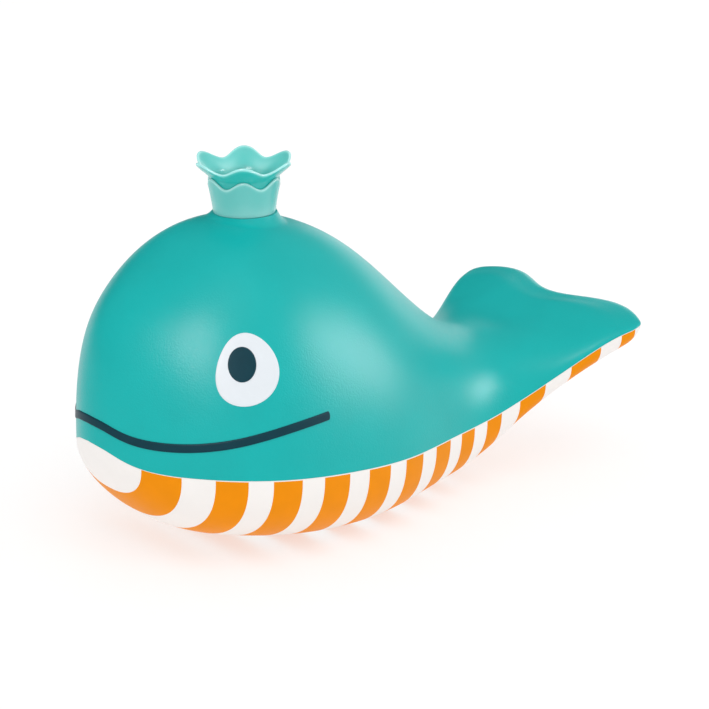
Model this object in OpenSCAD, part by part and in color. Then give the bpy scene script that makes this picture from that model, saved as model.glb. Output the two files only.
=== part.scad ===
// Squeaky whale bath toy: a soft two-shell body with a striped belly, a printed
// face, and a two-tier crown spout that holds a reed squeaker in its stem.
// Millimetres, +Z up. The nose points to -X, and the flat of the belly is at z = 0.

/* [Body] */
// Length from the nose to the back of the fluke lobes
body_length = 178; // [160:1:200]
// Width across the cheeks
body_width = 87; // [78:1:98]
// Height of the back above the table, without the crown
body_height = 93; // [84:1:104]
// Wall of the soft shells
wall = 2.4; // [1.8:0.1:3]
// Length of the hollow, back from the nose, behind which the tail is solid
hollow_length = 131; // [118:1:133]
// Glue line between the two shells
seam_gap = 0.3; // [0.2:0.05:0.5]
// Height of the belly's locating lip above the seam
lip_height = 2.4; // [1.5:0.1:4]
// Thickness of the locating lip
lip_thickness = 1.2; // [0.8:0.1:2]
// Clearance between the lip and the upper shell
lip_clearance = 0.4; // [0.3:0.05:0.6]

/* [Tail] */
// How far the fluke lobes reach behind the notch between them
lobe_reach = 7; // [4:0.5:10]
// Length over which the trailing edge is rounded
edge_round = 6; // [4:0.5:8]
// Rounding of the fluke tips, seen from above
tip_round = 5; // [2:0.5:7]
// Rise of the flukes' middle above their tips
fluke_rise = 1; // [0:0.5:4]
// How deep the top of the flukes is dished between the lobes, as a share of its height
fluke_dish = 0.45; // [0:0.05:0.6]

/* [Belly stripes] */
// Depth of the stripes let into the belly
stripe_depth = 0.4; // [0.3:0.05:0.8]
// White margin above the stripes, as an angle of the section
stripe_margin = 0.4; // [0.3:0.1:2]

/* [Face] */
// Distance of the eye's middle behind the nose
eye_back = 30.2; // [27:0.1:36]
// Height of the eye's middle
eye_up = 59.6; // [55:0.1:63]
// Width of the eye, seen from the side
eye_width = 16; // [12:0.5:18]
// Height of the eye
eye_height = 19.2; // [15:0.1:22]
// Backward lean of the eye's top
eye_lean = 10; // [0:1:20]
// How far the eye's sides bow back, which squares it up on the round cheek
eye_bow = 0.8; // [0:0.1:1.5]
// How much narrower the eye's top is than its bottom
eye_taper = 0.14; // [0:0.02:0.3]
// Distance of the pupil's middle in front of the eye's middle
pupil_forward = 0.8; // [0:0.1:3]
// Height of the pupil's middle above the eye's middle
pupil_up = 1.6; // [0:0.1:3]
// Width of the pupil, seen from the side
pupil_width = 7; // [5:0.5:9]
// Height of the pupil
pupil_height = 9.2; // [7:0.1:11]
// Thickness of the printed eyes and mouth
film = 0.3; // [0.2:0.05:0.5]
// Space between a print and what lies under it
film_gap = 0.08; // [0.05:0.01:0.12]
// Width of the mouth line
mouth_width = 2.5; // [2:0.1:4]
// Distance of the mouth's corners behind the nose
mouth_back = 53; // [44:0.5:58]

/* [Crown] */
// Distance of the crown's axis behind the nose
crown_back = 54; // [50:0.5:60]
// Height of the crown's seat above the back
seat_rise = 0.7; // [0.2:0.1:1]
// Turn of the crown: the direction of one of its points
crown_turn = 55; // [0:1:60]
// Number of points on each rim
points = 6; // [5:1:8]
// Radius of the cup where it meets the back
cup_r = 9; // [8:0.1:10]
// Height of the cup's points above the seat
cup_height = 10.8; // [10:0.1:12]
// How much wider the cup is at its points than at its seat
cup_flare = 2; // [1.6:0.1:2.6]
// Wall of the cup
cup_wall = 0.8; // [0.6:0.05:0.9]
// Floor of the cup
cup_floor = 1.6; // [1.2:0.1:2]
// Depth of the waves on the cup's rim
cup_wave = 2.4; // [1:0.1:4]
// Height of the funnel's points above the seat
funnel_height = 15.9; // [15:0.1:17]
// Depth of the waves on the funnel's rim
funnel_wave = 3; // [1:0.1:3]
// How much wider the funnel is at its points than where it leaves the cup
funnel_flare = 4.2; // [3:0.1:6]
// Wall of the funnel
funnel_wall = 0.9; // [0.7:0.05:1.2]
// Space between the funnel and the cup that it nests in
nest_gap = 0.3; // [0.2:0.05:0.5]
// Length of the funnel's tube below the seat
tube_length = 2; // [1:0.5:3]
// Radius of the air hole through the funnel
throat_r = 3.6; // [2.5:0.1:3.8]
// Radius of the crown's stem
stem_r = 6.9; // [6.5:0.1:7.5]
// Length of the stem below the seat
stem_length = 15; // [14:0.5:18]
// Bore of the stem, which holds the funnel's tube and the squeaker
stem_bore_r = 5; // [4.8:0.1:5.4]
// Wall of the neck tube that holds the stem
neck_wall = 2.4; // [1.8:0.1:3]
// Length of the neck tube below the seat
neck_length = 11; // [9:0.5:12]
// Thickness of the ring that locks the stem under the neck
ring_thickness = 1.6; // [1.2:0.1:2]
// Width of the locking ring
ring_width = 2.6; // [2:0.1:3]
// Depth of the stem's groove for the locking ring
groove_depth = 0.7; // [0.4:0.1:1]
// Clearance of pieces that push into each other
fit_clearance = 0.1; // [0.05:0.01:0.2]

/* [Squeaker] */
// Wall of the squeaker's barrel
barrel_wall = 0.9; // [0.7:0.1:1.2]
// Thickness of the barrel's flange and of the cap's plate
flange_thickness = 1.1; // [0.8:0.1:1.6]
// Radius of the air holes in the cap
air_hole_r = 0.8; // [0.5:0.1:0.9]
// Number of air holes round the cap's middle one
air_holes = 6; // [4:1:6]
// Length of the reed block
block_length = 10; // [9.6:0.1:10.2]
// Width of the air slot in the reed block
slot_width = 2; // [1.4:0.1:2.4]
// Depth of the air slot
slot_depth = 1.5; // [1:0.1:2]
// Width of the reed
reed_width = 3.4; // [2.8:0.1:4.2]
// Thickness of the reed
reed_thickness = 0.3; // [0.2:0.05:0.4]
// Length of the reed that swings free below its clamp
reed_free = 6; // [5:0.1:6.2]
// Length of the reed that lies in its clamp
reed_root = 1.5; // [1.2:0.1:1.6]
// Length of the clamp above the reed's root
clamp_cover = 1.1; // [0.6:0.1:1.5]
// How far the reed's tip reaches past the end of the slot
tip_cover = 0.8; // [0.4:0.1:1.2]
// Space between the reed and what lies on either side of it
reed_gap = 0.15; // [0.15:0.01:0.2]

/* [Hidden] */
$fn = 72;

teal = [0.13, 0.70, 0.68];
pale_teal = [0.52, 0.82, 0.80];
belly_white = [0.96, 0.95, 0.95];
orange = [0.95, 0.57, 0.08];
navy = [0.17, 0.26, 0.34];
squeaker_white = [0.9, 0.9, 0.86];
reed_amber = [0.85, 0.72, 0.45];

// The lines plan is drawn at this size, and stretched to the sizes set above
drawn_spine = 171;
drawn_width = 87;
drawn_height = 93;
nose_up = 35.6;
// Pairs of distance behind the nose and half width, or height
plan_line = [[5, 14.9], [18, 31.9], [38, 42.5], [62, 43], [86, 38.5], [110, 29.5],
    [130, 26.6], [148, 32], [161, 38.3], [171, 41.2]];
back_line = [[5, 65.8], [18, 80.5], [38, 91.5], [62, 91.5], [86, 80], [110, 58.7],
    [130, 46.3], [148, 46], [161, 48.2], [171, 53.5]];
seam_line = [[1.3, 34.4], [5, 31.4], [18, 29.5], [38, 28], [62, 25.5], [86, 23.5],
    [110, 22.5], [130, 25.2], [148, 35.5], [161, 44.8], [171, 48]];
keel_line = [[5, 22.4], [18, 9.3], [38, 2.5], [62, -1.7], [86, -2.2], [110, 0.5],
    [130, 7.5], [148, 23.7], [161, 33.5], [171, 40]];
// The smile: middle of the mouth line, from the nose to the corner
smile_line = [[1.2, 41.3], [4.5, 39], [11, 38], [26, 40], [40, 42.6], [53, 44]];
smile_up = 42.2;
// Each stripe's start behind the nose and its width
stripes = [[6.5, 7], [20.3, 7.6], [34.5, 8.6], [50.5, 9.1], [67, 8.6], [82.5, 8.4], [98, 7.7],
    [111.5, 6.3], [123.3, 5.7], [135.4, 7.6], [149.7, 7.4], [162.6, 4.2]];
// Rows that the loft needs besides the stripes' edges: near the nose, and as shares of
// the rounded trailing edge before its end
nose_rows = [0.6, 2, 4];
edge_rows = [1.25, 0.6, 0.12, 0];
// How square the sections are: 2 is an ellipse
top_power = 2.15;
belly_power = 2.3;
// Where the flukes begin to sweep back
sweep_start = 135;
// Width of the dish on the flukes, as a share of their half width
dish_width = 0.45;

upper_columns = 32;
belly_columns = 24;

nose_x = -body_length / 2;
spine = body_length - lobe_reach;
x_scale = spine / drawn_spine;
y_scale = body_width / drawn_width;
z_scale = body_height / drawn_height;

// Fair curves: natural cubic splines over the square root of the distance
// behind the nose, which makes the nose round.
function run(d) = sqrt(max(d, 0) / drawn_spine);
function sweep_row(q, v, i) = i == 0 ? [0, 0] :
    let (a = q[i] - q[i - 1], b = q[i + 1] - q[i], last = sweep_row(q, v, i - 1),
        pull = 6 * ((v[i + 1] - v[i]) / b - (v[i] - v[i - 1]) / a),
        m = 2 * (a + b) - a * last[0])
    [b / m, (pull - a * last[1]) / m];
function bend(q, v, i) = i <= 0 || i >= len(q) - 1 ? 0 :
    let (s = sweep_row(q, v, i)) s[1] - s[0] * bend(q, v, i + 1);
function fair(line, first) =
    let (q = concat([0], [for (p = line) run(p[0])]), v = concat([first], [for (p = line) p[1]]))
    [q, v, [for (i = [0:len(q) - 1]) bend(q, v, i)]];
function span(q, s, i = 0) = i >= len(q) - 2 || s < q[i + 1] ? i : span(q, s, i + 1);
function at(curve, d) =
    let (q = curve[0], v = curve[1], m = curve[2], s = run(d), i = span(q, s), h = q[i + 1] - q[i],
        a = (q[i + 1] - s) / h, b = (s - q[i]) / h)
    a * v[i] + b * v[i + 1] + ((pow(a, 3) - a) * m[i] + (pow(b, 3) - b) * m[i + 1]) * h * h / 6;

plan_curve = fair(plan_line, 0);
back_curve = fair(back_line, nose_up);
seam_curve = fair(seam_line, nose_up);
keel_curve = fair(keel_line, nose_up);
smile_curve = fair(smile_line, smile_up);

function ease(t) = let (u = min(max(t, 0), 1)) u * u * (3 - 2 * u);
// Closes the trailing edge of the tail in a round
drawn_round = edge_round / x_scale;
function closing(d) = sqrt(max(0, 1 - pow(max(0, d - drawn_spine + drawn_round) / drawn_round, 2)));
function sweep(d) = ease((d - sweep_start) / (drawn_spine - sweep_start));
function half_width(d) = at(plan_curve, d) * y_scale - tip_round * (1 - closing(d));
function seam_z(d) = at(seam_curve, d) * z_scale;
function seam_mid(d) = seam_z(d) + fluke_rise * sweep(d);
function upper_rise(d) = (at(back_curve, d) * z_scale - seam_mid(d)) * closing(d);
function belly_drop(d) = (seam_mid(d) - at(keel_curve, d) * z_scale) * closing(d);

// A point of the parting surface: side runs from -1 to 1 across the body. The lobes reach
// back in a wave that is flat in the middle, and furthest back at two thirds of the way out.
function lobe(side) = (1 - cos(270 * abs(side))) / 2;
function parting(d, side) =
    [nose_x + d * x_scale + lobe_reach * sweep(d) * lobe(side),
        half_width(d) * side,
        seam_z(d) + fluke_rise * sweep(d) * (1 - side * side)];
// A point of the skin: the angle runs from 0 at one seam to 180 at the other
function section_side(angle, power) = -sign(cos(angle)) * pow(abs(cos(angle)), 2 / power);
function section_lift(angle, power) = pow(abs(sin(angle)), 2 / power);
function dish(d, side) = 1 - fluke_dish * sweep(d) * exp(-pow(side / dish_width, 2));
function upper_skin(d, angle) =
    let (side = section_side(angle, top_power), lift = section_lift(angle, top_power) * dish(d, side))
    parting(d, side) + [0, 0, seam_gap / 2 + upper_rise(d) * lift];
function belly_skin(d, angle) =
    let (p = parting(d, section_side(angle, belly_power)))
    [p[0], p[1], max(0, p[2] - seam_gap / 2 - belly_drop(d) * section_lift(angle, belly_power))];
function skin(top, d, angle) = top ? upper_skin(d, angle) : belly_skin(d, angle);
// Half width of the upper skin at a height
function half_width_at(d, z) =
    let (lift = (z - seam_mid(d) - seam_gap / 2) / upper_rise(d))
    half_width(d) * pow(max(0, 1 - pow(max(0, lift), top_power)), 1 / top_power);

function unit(v) = v / norm(v);
// Outward direction of the skin, level at the seam
probe = 0.05;
function outward(top, d, angle) =
    angle <= 0 || angle >= 180
    ? let (slope = (half_width(d + probe) - half_width(d - probe)) / (2 * probe * x_scale))
        unit([-slope, angle <= 0 ? -1 : 1, 0])
    : let (p = skin(top, d, angle),
        along = skin(top, d + probe, angle) - skin(top, d - probe, angle),
        across = skin(top, d, angle + probe * 10) - skin(top, d, angle - probe * 10),
        n = unit(cross(along, across)))
    n * (n * (p - parting(d, 0)) < 0 ? -1 : 1);

// Rows of the lofts, with one at the end of the hollow
hollow_row = (hollow_length + wall) / x_scale;
stripe_edges = [for (s = stripes) each [s[0], s[0] + s[1]]];
tail_rows = [for (share = edge_rows) drawn_spine - drawn_round * share];
rows = concat([0], nose_rows, [for (e = stripe_edges) if (e < hollow_row - 1) e], [hollow_row],
    [for (e = stripe_edges) if (e > hollow_row + 1 && e < tail_rows[0]) e], [tail_rows[0]],
    [for (e = stripe_edges) if (e > tail_rows[0] && e < tail_rows[1]) e], [tail_rows[1]],
    [for (e = stripe_edges) if (e > tail_rows[1]) e], [for (i = [2:3]) tail_rows[i]]);
last_row = len(rows) - 1;
end_row = [for (i = [0:last_row]) if (rows[i] == hollow_row) i][0];

function upper_angles() = [for (j = [0:upper_columns]) 180 * j / upper_columns];
// The belly's first and last columns run close under the seam, above the stripes
function belly_angles() = concat([0, stripe_margin],
    [for (j = [1:belly_columns - 3]) 180 * j / (belly_columns - 2)], [180 - stripe_margin, 180]);

// Point lists of a loft keep the nose as one point, followed by whole rows
function loft_points(top, angles) = concat([skin(top, 0, 90)],
    [for (i = [1:last_row], a = angles) skin(top, rows[i], a)]);
function inset_points(top, angles, depth) = concat([skin(top, 0, 90) + [depth, 0, 0]],
    [for (i = [1:last_row], a = angles) skin(top, rows[i], a) - depth * outward(top, rows[i], a)]);
function vertex(i, j, columns) = i == 0 ? 0 : 1 + (i - 1) * (columns + 1) + j;

function triangle(a, b, c) = a != b && b != c && a != c ? [[a, b, c]] : [];
function quad(a, b, c, d) = concat(triangle(a, b, c), triangle(a, c, d));
function flipped(faces) = [for (f = faces) [f[2], f[1], f[0]]];
function shifted(faces, by) = [for (f = faces) f + [by, by, by]];
function cell(i, j, columns) = quad(vertex(i, j, columns), vertex(i + 1, j, columns),
    vertex(i + 1, j + 1, columns), vertex(i, j + 1, columns));
function grid_faces(columns, until) =
    [for (i = [0:until - 1], j = [0:columns - 1]) each cell(i, j, columns)];
// Faces between two loops of as many points
function band(a, b) = let (n = len(a))
    [for (k = [0:n - 1]) let (m = (k + 1) % n) each quad(a[k], b[k], b[m], a[m])];

// Vertices round the mouth of the hollow: one seam, the nose, the other seam, then across
function seam_loop(columns, first, across) = concat(
    [for (i = [end_row:-1:1]) first + vertex(i, 0, columns)], [first],
    [for (i = [1:end_row]) first + vertex(i, columns, columns)],
    [for (j = [columns - 1:-1:1]) across + j - 1]);

// One half of the body: the skin, the hollow, the parting face with its lips,
// and a solid tail. Each lip is a pair of inset from the skin and height.
module half_shell(top, angles, lips, outer_faces, extra_points) {
    columns = len(angles) - 1;
    outer = loft_points(top, angles);
    depth = len(lips) == 0 ? wall : lips[len(lips) - 1][0];
    // The hollow stops short of the solid tail by its wall, and its edge moves in
    // where a lip thickens the rim
    inner = concat([outer[0] + [depth, 0, 0]],
        [for (i = [1:end_row], j = [0:columns])
            let (inset = j == 0 || j == columns ? depth : wall)
            outer[vertex(i, j, columns)] - inset * outward(top, rows[i], angles[j])
                - (i == end_row ? [inset, 0, 0] : [0, 0, 0])]);
    flat_side = [for (a = angles) section_side(a, top ? top_power : belly_power)];
    level = (top ? 1 : -1) * [0, 0, seam_gap / 2];
    // The parting face across the solid tail, from the end of the hollow
    deck = [for (i = [end_row:last_row - 1], j = [1:columns - 1]) parting(rows[i], flat_side[j]) + level];
    near = inner[vertex(end_row, 0, columns)];
    far = inner[vertex(end_row, columns, columns)];
    sill = [for (j = [1:columns - 1]) near + (far - near) * (flat_side[j] + 1) / 2];

    outer_first = 0;
    extra_first = len(outer);
    inner_first = extra_first + len(extra_points);
    deck_first = inner_first + len(inner);
    sill_first = deck_first + len(deck);
    lip_first = sill_first + len(sill);
    rim = seam_loop(columns, outer_first, deck_first);
    mouth = seam_loop(columns, inner_first, sill_first);
    body = concat(outer, extra_points, inner, deck, sill);
    ring_size = len(rim);
    lip_points = [for (l = lips, k = [0:ring_size - 1])
        body[rim[k]] + (body[mouth[k]] - body[rim[k]]) * l[0] / depth + [0, 0, l[1]]];
    rings = concat([rim],
        [for (r = [0:len(lips) - 1]) [for (k = [0:ring_size - 1]) lip_first + r * ring_size + k]], [mouth]);

    function deck_vertex(i, j) = j == 0 || j == columns || i == last_row
        ? vertex(i, j, columns) : deck_first + (i - end_row) * (columns - 1) + j - 1;
    function sill_vertex(j) = j == 0 || j == columns
        ? inner_first + vertex(end_row, j, columns) : sill_first + j - 1;
    inner_faces = shifted(flipped(grid_faces(columns, end_row)), inner_first);
    end_faces = [for (j = [0:columns - 1]) each quad(
        inner_first + vertex(end_row, j, columns), inner_first + vertex(end_row, j + 1, columns),
        sill_vertex(j + 1), sill_vertex(j))];
    deck_faces = [for (i = [end_row:last_row - 1], j = [0:columns - 1]) each quad(
        deck_vertex(i, j + 1), deck_vertex(i + 1, j + 1), deck_vertex(i + 1, j), deck_vertex(i, j))];
    rim_faces = [for (r = [0:len(rings) - 2]) each band(rings[r + 1], rings[r])];
    all_faces = concat(outer_faces, inner_faces, end_faces, deck_faces, rim_faces);
    polyhedron(concat(body, lip_points), top ? flipped(all_faces) : all_faces);
}

neck_bore_r = stem_r + fit_clearance;
neck_r = neck_bore_r + neck_wall;
// The seat is level, and clears the back all along the neck
crown_x = nose_x + crown_back;
seat_marks = [for (k = [-4:4]) (crown_back + neck_r * k / 4) / x_scale];
seat_z = max([for (d = seat_marks) at(back_curve, d)]) * z_scale + seat_rise;

module at_crown() translate([crown_x, 0, seat_z]) children();

module upper_shell() {
    color(teal) difference() {
        union() {
            half_shell(true, upper_angles(), [], grid_faces(upper_columns, last_row), []);
            at_crown() translate([0, 0, -neck_length]) cylinder(h = neck_length, r = neck_r);
        }
        at_crown() translate([0, 0, -2 * neck_length]) cylinder(h = 3 * neck_length, r = neck_bore_r);
    }
}

// Which stripe a row of the belly lies in, or -1
function stripe_of(i) = let (mid = (rows[i] + rows[i + 1]) / 2,
    hits = [for (k = [0:len(stripes) - 1]) if (mid > stripes[k][0] && mid < stripes[k][0] + stripes[k][1]) k])
    len(hits) == 0 ? -1 : hits[0];
function is_inlaid(i, j) = i > 0 && i < last_row && j > 0 && j < belly_columns - 1 && stripe_of(i) >= 0;
belly_outer = loft_points(false, belly_angles());
belly_floor = inset_points(false, belly_angles(), stripe_depth);
floor_first = len(belly_outer);
function inlay_faces(i, j) = shifted(cell(i, j, belly_columns), floor_first);
// Side walls of a let-in cell, towards each neighbour that isn't let in
function inlay_walls(i, j) =
    let (a = vertex(i, j, belly_columns), b = vertex(i + 1, j, belly_columns),
        c = vertex(i + 1, j + 1, belly_columns), d = vertex(i, j + 1, belly_columns), f = floor_first)
    concat(is_inlaid(i, j - 1) ? [] : quad(a, b, b + f, a + f),
        is_inlaid(i + 1, j) ? [] : quad(b, c, c + f, b + f),
        is_inlaid(i, j + 1) ? [] : quad(c, d, d + f, c + f),
        is_inlaid(i - 1, j) ? [] : quad(d, a, a + f, d + f));

module belly_shell() {
    faces = [for (i = [0:last_row - 1], j = [0:belly_columns - 1])
        each is_inlaid(i, j)
            ? concat(inlay_faces(i, j), inlay_walls(i, j))
            : cell(i, j, belly_columns)];
    lip_out = wall + lip_clearance;
    lip_in = lip_out + lip_thickness;
    lips = [[lip_out, 0], [lip_out, lip_height], [lip_in, lip_height]];
    color(belly_white) half_shell(false, belly_angles(), lips, faces, belly_floor);
}

module belly_stripes() {
    color(orange) for (k = [0:len(stripes) - 1]) {
        faces = [for (i = [1:last_row - 1], j = [1:belly_columns - 2])
            if (stripe_of(i) == k) each concat(
                cell(i, j, belly_columns), flipped(inlay_faces(i, j)), flipped(inlay_walls(i, j)))];
        polyhedron(concat(belly_outer, belly_floor), faces);
    }
}

// A print that follows the cheek: rings of points round its middle, as seen from the side
function cheek(back, up, hand, lift) =
    let (d = back / x_scale)
    [nose_x + back, hand * (half_width_at(d, up) + lift), up];
module print_patch(outline, middle, hand, low, high) {
    rings = 3;
    n = len(outline);
    function layer(lift) = concat([cheek(middle[0], middle[1], hand, lift)],
        [for (r = [1:rings], k = [0:n - 1])
            let (p = middle + (outline[k] - middle) * r / rings) cheek(p[0], p[1], hand, lift)]);
    function ring_vertex(r, k) = r == 0 ? 0 : 1 + (r - 1) * n + k % n;
    top = [for (r = [0:rings - 1], k = [0:n - 1]) each quad(
        ring_vertex(r, k), ring_vertex(r + 1, k), ring_vertex(r + 1, k + 1), ring_vertex(r, k + 1))];
    count = 1 + rings * n;
    side = [for (k = [0:n - 1]) each quad(ring_vertex(rings, k), ring_vertex(rings, k) + count,
        ring_vertex(rings, k + 1) + count, ring_vertex(rings, k + 1))];
    faces = concat(flipped(top), shifted(top, count), flipped(side));
    polyhedron(concat(layer(low), layer(high)), hand < 0 ? flipped(faces) : faces);
}

eye_middle = [eye_back, eye_up];
pupil_middle = eye_middle + [-pupil_forward, pupil_up];
// An egg that leans back, or an ellipse where taper and bow are 0
function egg(middle, width, height, taper, bow, steps) = [for (k = [0:steps - 1])
    let (a = 360 * k / steps, across = width / 2 * cos(a) * (1 - taper * sin(a)), up = height / 2 * sin(a))
    middle + [across + up * tan(eye_lean) + bow * pow(cos(a), 2), up]];

module eye_white(hand) {
    outline = egg(eye_middle, eye_width, eye_height, eye_taper, eye_bow, 32);
    color(belly_white) print_patch(outline, eye_middle, hand, film_gap, film_gap + film);
}
module eye_white_left() eye_white(-1);
module eye_white_right() eye_white(1);

module pupil(hand) {
    outline = egg(pupil_middle, pupil_width, pupil_height, 0, 0, 24);
    color(navy) print_patch(outline, pupil_middle, hand, 2 * film_gap + film, 2 * (film_gap + film));
}
module pupil_left() pupil(-1);
module pupil_right() pupil(1);

// Distance behind the nose at which the front of the upper skin reaches a height, found by
// halving the first stretch of the nose again and again
function top_z(d) = seam_mid(d) + seam_gap / 2 + upper_rise(d);
function front_at(z, low = 0, high = 10, turns = 24) =
    let (mid = (low + high) / 2)
    turns == 0 ? mid
        : top_z(mid) < z ? front_at(z, mid, high, turns - 1) : front_at(z, low, mid, turns - 1);

module mouth_line() {
    steps = 24;
    d_end = mouth_back / x_scale;
    // Runs from one corner round the nose to the other, closer together at the nose
    function mouth_point(k, up, lift) =
        let (u = k / steps, z = at(smile_curve, d_end * u * u) * z_scale + up,
            nose = front_at(z), d = nose + (d_end - nose) * u * u,
            before = max(d - probe, nose),
            slope = (half_width_at(d + probe, z) - half_width_at(before, z)) / (d + probe - before) / x_scale,
            out = k == 0 ? [-1, 0, 0] : unit([-slope, sign(u), 0]))
        [nose_x + d * x_scale, sign(u) * half_width_at(d, z), z] + lift * out;
    section = [[-1, film_gap], [0, film_gap], [1, film_gap],
        [1, film_gap + film], [0, film_gap + film], [-1, film_gap + film]];
    sides = len(section);
    path = [for (k = [-steps:steps], s = section) mouth_point(k, s[0] * mouth_width / 2, s[1])];
    walls = [for (k = [0:2 * steps - 1], s = [0:sides - 1]) let (t = (s + 1) % sides)
        each quad(k * sides + s, (k + 1) * sides + s, (k + 1) * sides + t, k * sides + t)];
    ends = concat(quad(0, 1, 4, 5), quad(1, 2, 3, 4));
    faces = concat(walls, ends, shifted(flipped(ends), 2 * steps * sides));
    color(navy) polyhedron(path, flipped(faces));
}

// Everything above a wavy rim: highest at the points, lower by the wave's depth between them
module above_rim(height, wave, inner_r, outer_r) {
    steps = points * 12;
    function rim_z(k) = height - wave / 2 + wave / 2 * cos(360 * points * k / steps);
    function rim_point(k, r, z) = let (a = crown_turn + 360 * k / steps) [r * cos(a), r * sin(a), z];
    ring = [for (k = [0:steps - 1]) each [rim_point(k, inner_r, rim_z(k)), rim_point(k, outer_r, rim_z(k)),
        rim_point(k, outer_r, height * 2), rim_point(k, inner_r, height * 2)]];
    faces = [for (k = [0:steps - 1], s = [0:3])
        let (m = (k + 1) % steps, t = (s + 1) % 4)
        each quad(4 * k + s, 4 * m + s, 4 * m + t, 4 * k + t)];
    polyhedron(ring, flipped(faces));
}

// How quickly the cup widens towards its points, and how quickly the funnel turns upright
cup_power = 1.3;
flare_power = 1.35;
function cup_outer_r(up) = cup_r + cup_flare * pow(up / cup_height, cup_power);
groove_r = stem_r - groove_depth;
groove_top = neck_length + fit_clearance;
groove_bottom = groove_top + ring_thickness + fit_clearance;
module crown_cup() {
    steps = 6;
    top = cup_height + cup_wall;
    heights = [for (k = [0:steps]) top * k / steps];
    inner_heights = [for (k = [steps:-1:0]) cup_floor + (top - cup_floor) * k / steps];
    profile = concat(
        [[stem_bore_r, -stem_length], [stem_r, -stem_length], [stem_r, -groove_bottom],
            [groove_r, -groove_bottom], [groove_r, -groove_top], [stem_r, -groove_top], [stem_r, 0]],
        [for (h = heights) [cup_outer_r(h), h]],
        [for (h = inner_heights) [cup_outer_r(h) - cup_wall, h]],
        [[stem_bore_r, cup_floor]]);
    color(pale_teal) at_crown() difference() {
        rotate_extrude() polygon(profile);
        above_rim(cup_height, cup_wave, cup_r - cup_wall, cup_r + 2 * cup_flare);
    }
}

// The funnel follows the inside of the cup up to the cup's points, and flares above them
function funnel_r(up) =
    let (over = min(1, max(0, up - cup_height) / (funnel_height - cup_height)))
    cup_outer_r(min(up, cup_height)) - cup_wall - nest_gap
        + funnel_flare * (1 - pow(1 - over, flare_power));
tube_r = stem_bore_r - fit_clearance;
bowl_bevel = 1.5;
module crown_funnel() {
    nest_steps = 4;
    flare_steps = 6;
    steps = nest_steps + flare_steps;
    shoulder = cup_floor + fit_clearance;
    low = shoulder + bowl_bevel;
    top = funnel_height + funnel_wall;
    heights = concat(
        [for (k = [0:nest_steps - 1]) low + (cup_height - low) * k / nest_steps],
        [for (k = [0:flare_steps]) cup_height + (top - cup_height) * k / flare_steps]);
    floor_z = shoulder + funnel_wall;
    profile = concat(
        [[throat_r, -tube_length], [tube_r, -tube_length], [tube_r, shoulder],
            [funnel_r(low) - bowl_bevel, shoulder]],
        [for (h = heights) [funnel_r(h), h]],
        [for (k = [steps:-1:1]) [funnel_r(heights[k]) - funnel_wall, heights[k]]],
        [[funnel_r(low) - funnel_wall, low + funnel_wall]],
        [[funnel_r(low) - funnel_wall - bowl_bevel, floor_z], [throat_r, floor_z]]);
    color(pale_teal) at_crown() difference() {
        rotate_extrude() polygon(profile);
        above_rim(funnel_height, funnel_wave, cup_r, 2 * cup_r);
    }
}

module neck_ring() {
    ring_r = groove_r + fit_clearance;
    color(squeaker_white) at_crown() translate([0, 0, -groove_top - ring_thickness])
        difference() {
            cylinder(h = ring_thickness, r = ring_r + ring_width);
            translate([0, 0, -ring_thickness]) cylinder(h = 3 * ring_thickness, r = ring_r);
        }
}

// The squeaker hangs in the stem, with its flange against the stem's end and its top
// under the funnel's tube
barrel_r = stem_bore_r - fit_clearance;
barrel_bore_r = barrel_r - barrel_wall;
barrel_top = -tube_length - 5 * fit_clearance;
flange_r = stem_r - fit_clearance;
flange_top = -stem_length - fit_clearance;
flange_bottom = flange_top - flange_thickness;
module squeaker_barrel() {
    profile = [[barrel_bore_r, flange_bottom], [flange_r, flange_bottom], [flange_r, flange_top],
        [barrel_r, flange_top], [barrel_r, barrel_top], [barrel_bore_r, barrel_top]];
    color(squeaker_white) at_crown() rotate_extrude() polygon(profile);
}

// The block, the reed and the clamp lie inside the barrel. The reed lies over the block's
// slot, and swings about the clamp's lower edge, along X.
plug_r = barrel_bore_r - fit_clearance;
block_top = barrel_top - 5 * fit_clearance;
block_bottom = block_top - block_length;
swing_z = block_top - clamp_cover - reed_root;
reed_bottom = swing_z - reed_free;
reed_face = reed_thickness / 2 + reed_gap;

// The cap's plug reaches up to the block, and keeps it in the barrel
module squeaker_cap() {
    plate_top = flange_bottom - fit_clearance;
    plate_bottom = plate_top - flange_thickness;
    plug_top = block_bottom - fit_clearance;
    plug_bore_r = plug_r - barrel_wall;
    profile = [[0, plate_bottom], [flange_r, plate_bottom], [flange_r, plate_top], [plug_r, plate_top],
        [plug_r, plug_top], [plug_bore_r, plug_top], [plug_bore_r, plate_top], [0, plate_top]];
    hole_circle_r = plug_bore_r - air_hole_r - fit_clearance;
    module air_hole() translate([0, 0, plate_bottom - flange_thickness])
        cylinder(h = 3 * flange_thickness, r = air_hole_r, $fn = 24);
    color(squeaker_white) at_crown() difference() {
        rotate_extrude() polygon(profile);
        air_hole();
        for (k = [1:air_holes]) rotate(360 * k / air_holes) translate([hole_circle_r, 0, 0]) air_hole();
    }
}

// A length of half-round bar, cut flat at a distance from the barrel's middle
module half_round(bottom, top, cut, turn) {
    rotate(turn) intersection() {
        translate([0, 0, bottom]) cylinder(h = top - bottom, r = plug_r);
        translate([-plug_r, cut, bottom]) cube([2 * plug_r, plug_r, top - bottom]);
    }
}

module reed_block() {
    slot_bottom = reed_bottom + tip_cover;
    color(squeaker_white) at_crown() difference() {
        half_round(block_bottom, block_top, reed_face, 180);
        translate([-slot_width / 2, -reed_face - slot_depth, slot_bottom])
            cube([slot_width, 2 * slot_depth, block_length]);
    }
}

module reed_clamp() {
    color(squeaker_white) at_crown() half_round(swing_z, block_top, reed_face, 0);
}

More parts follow.
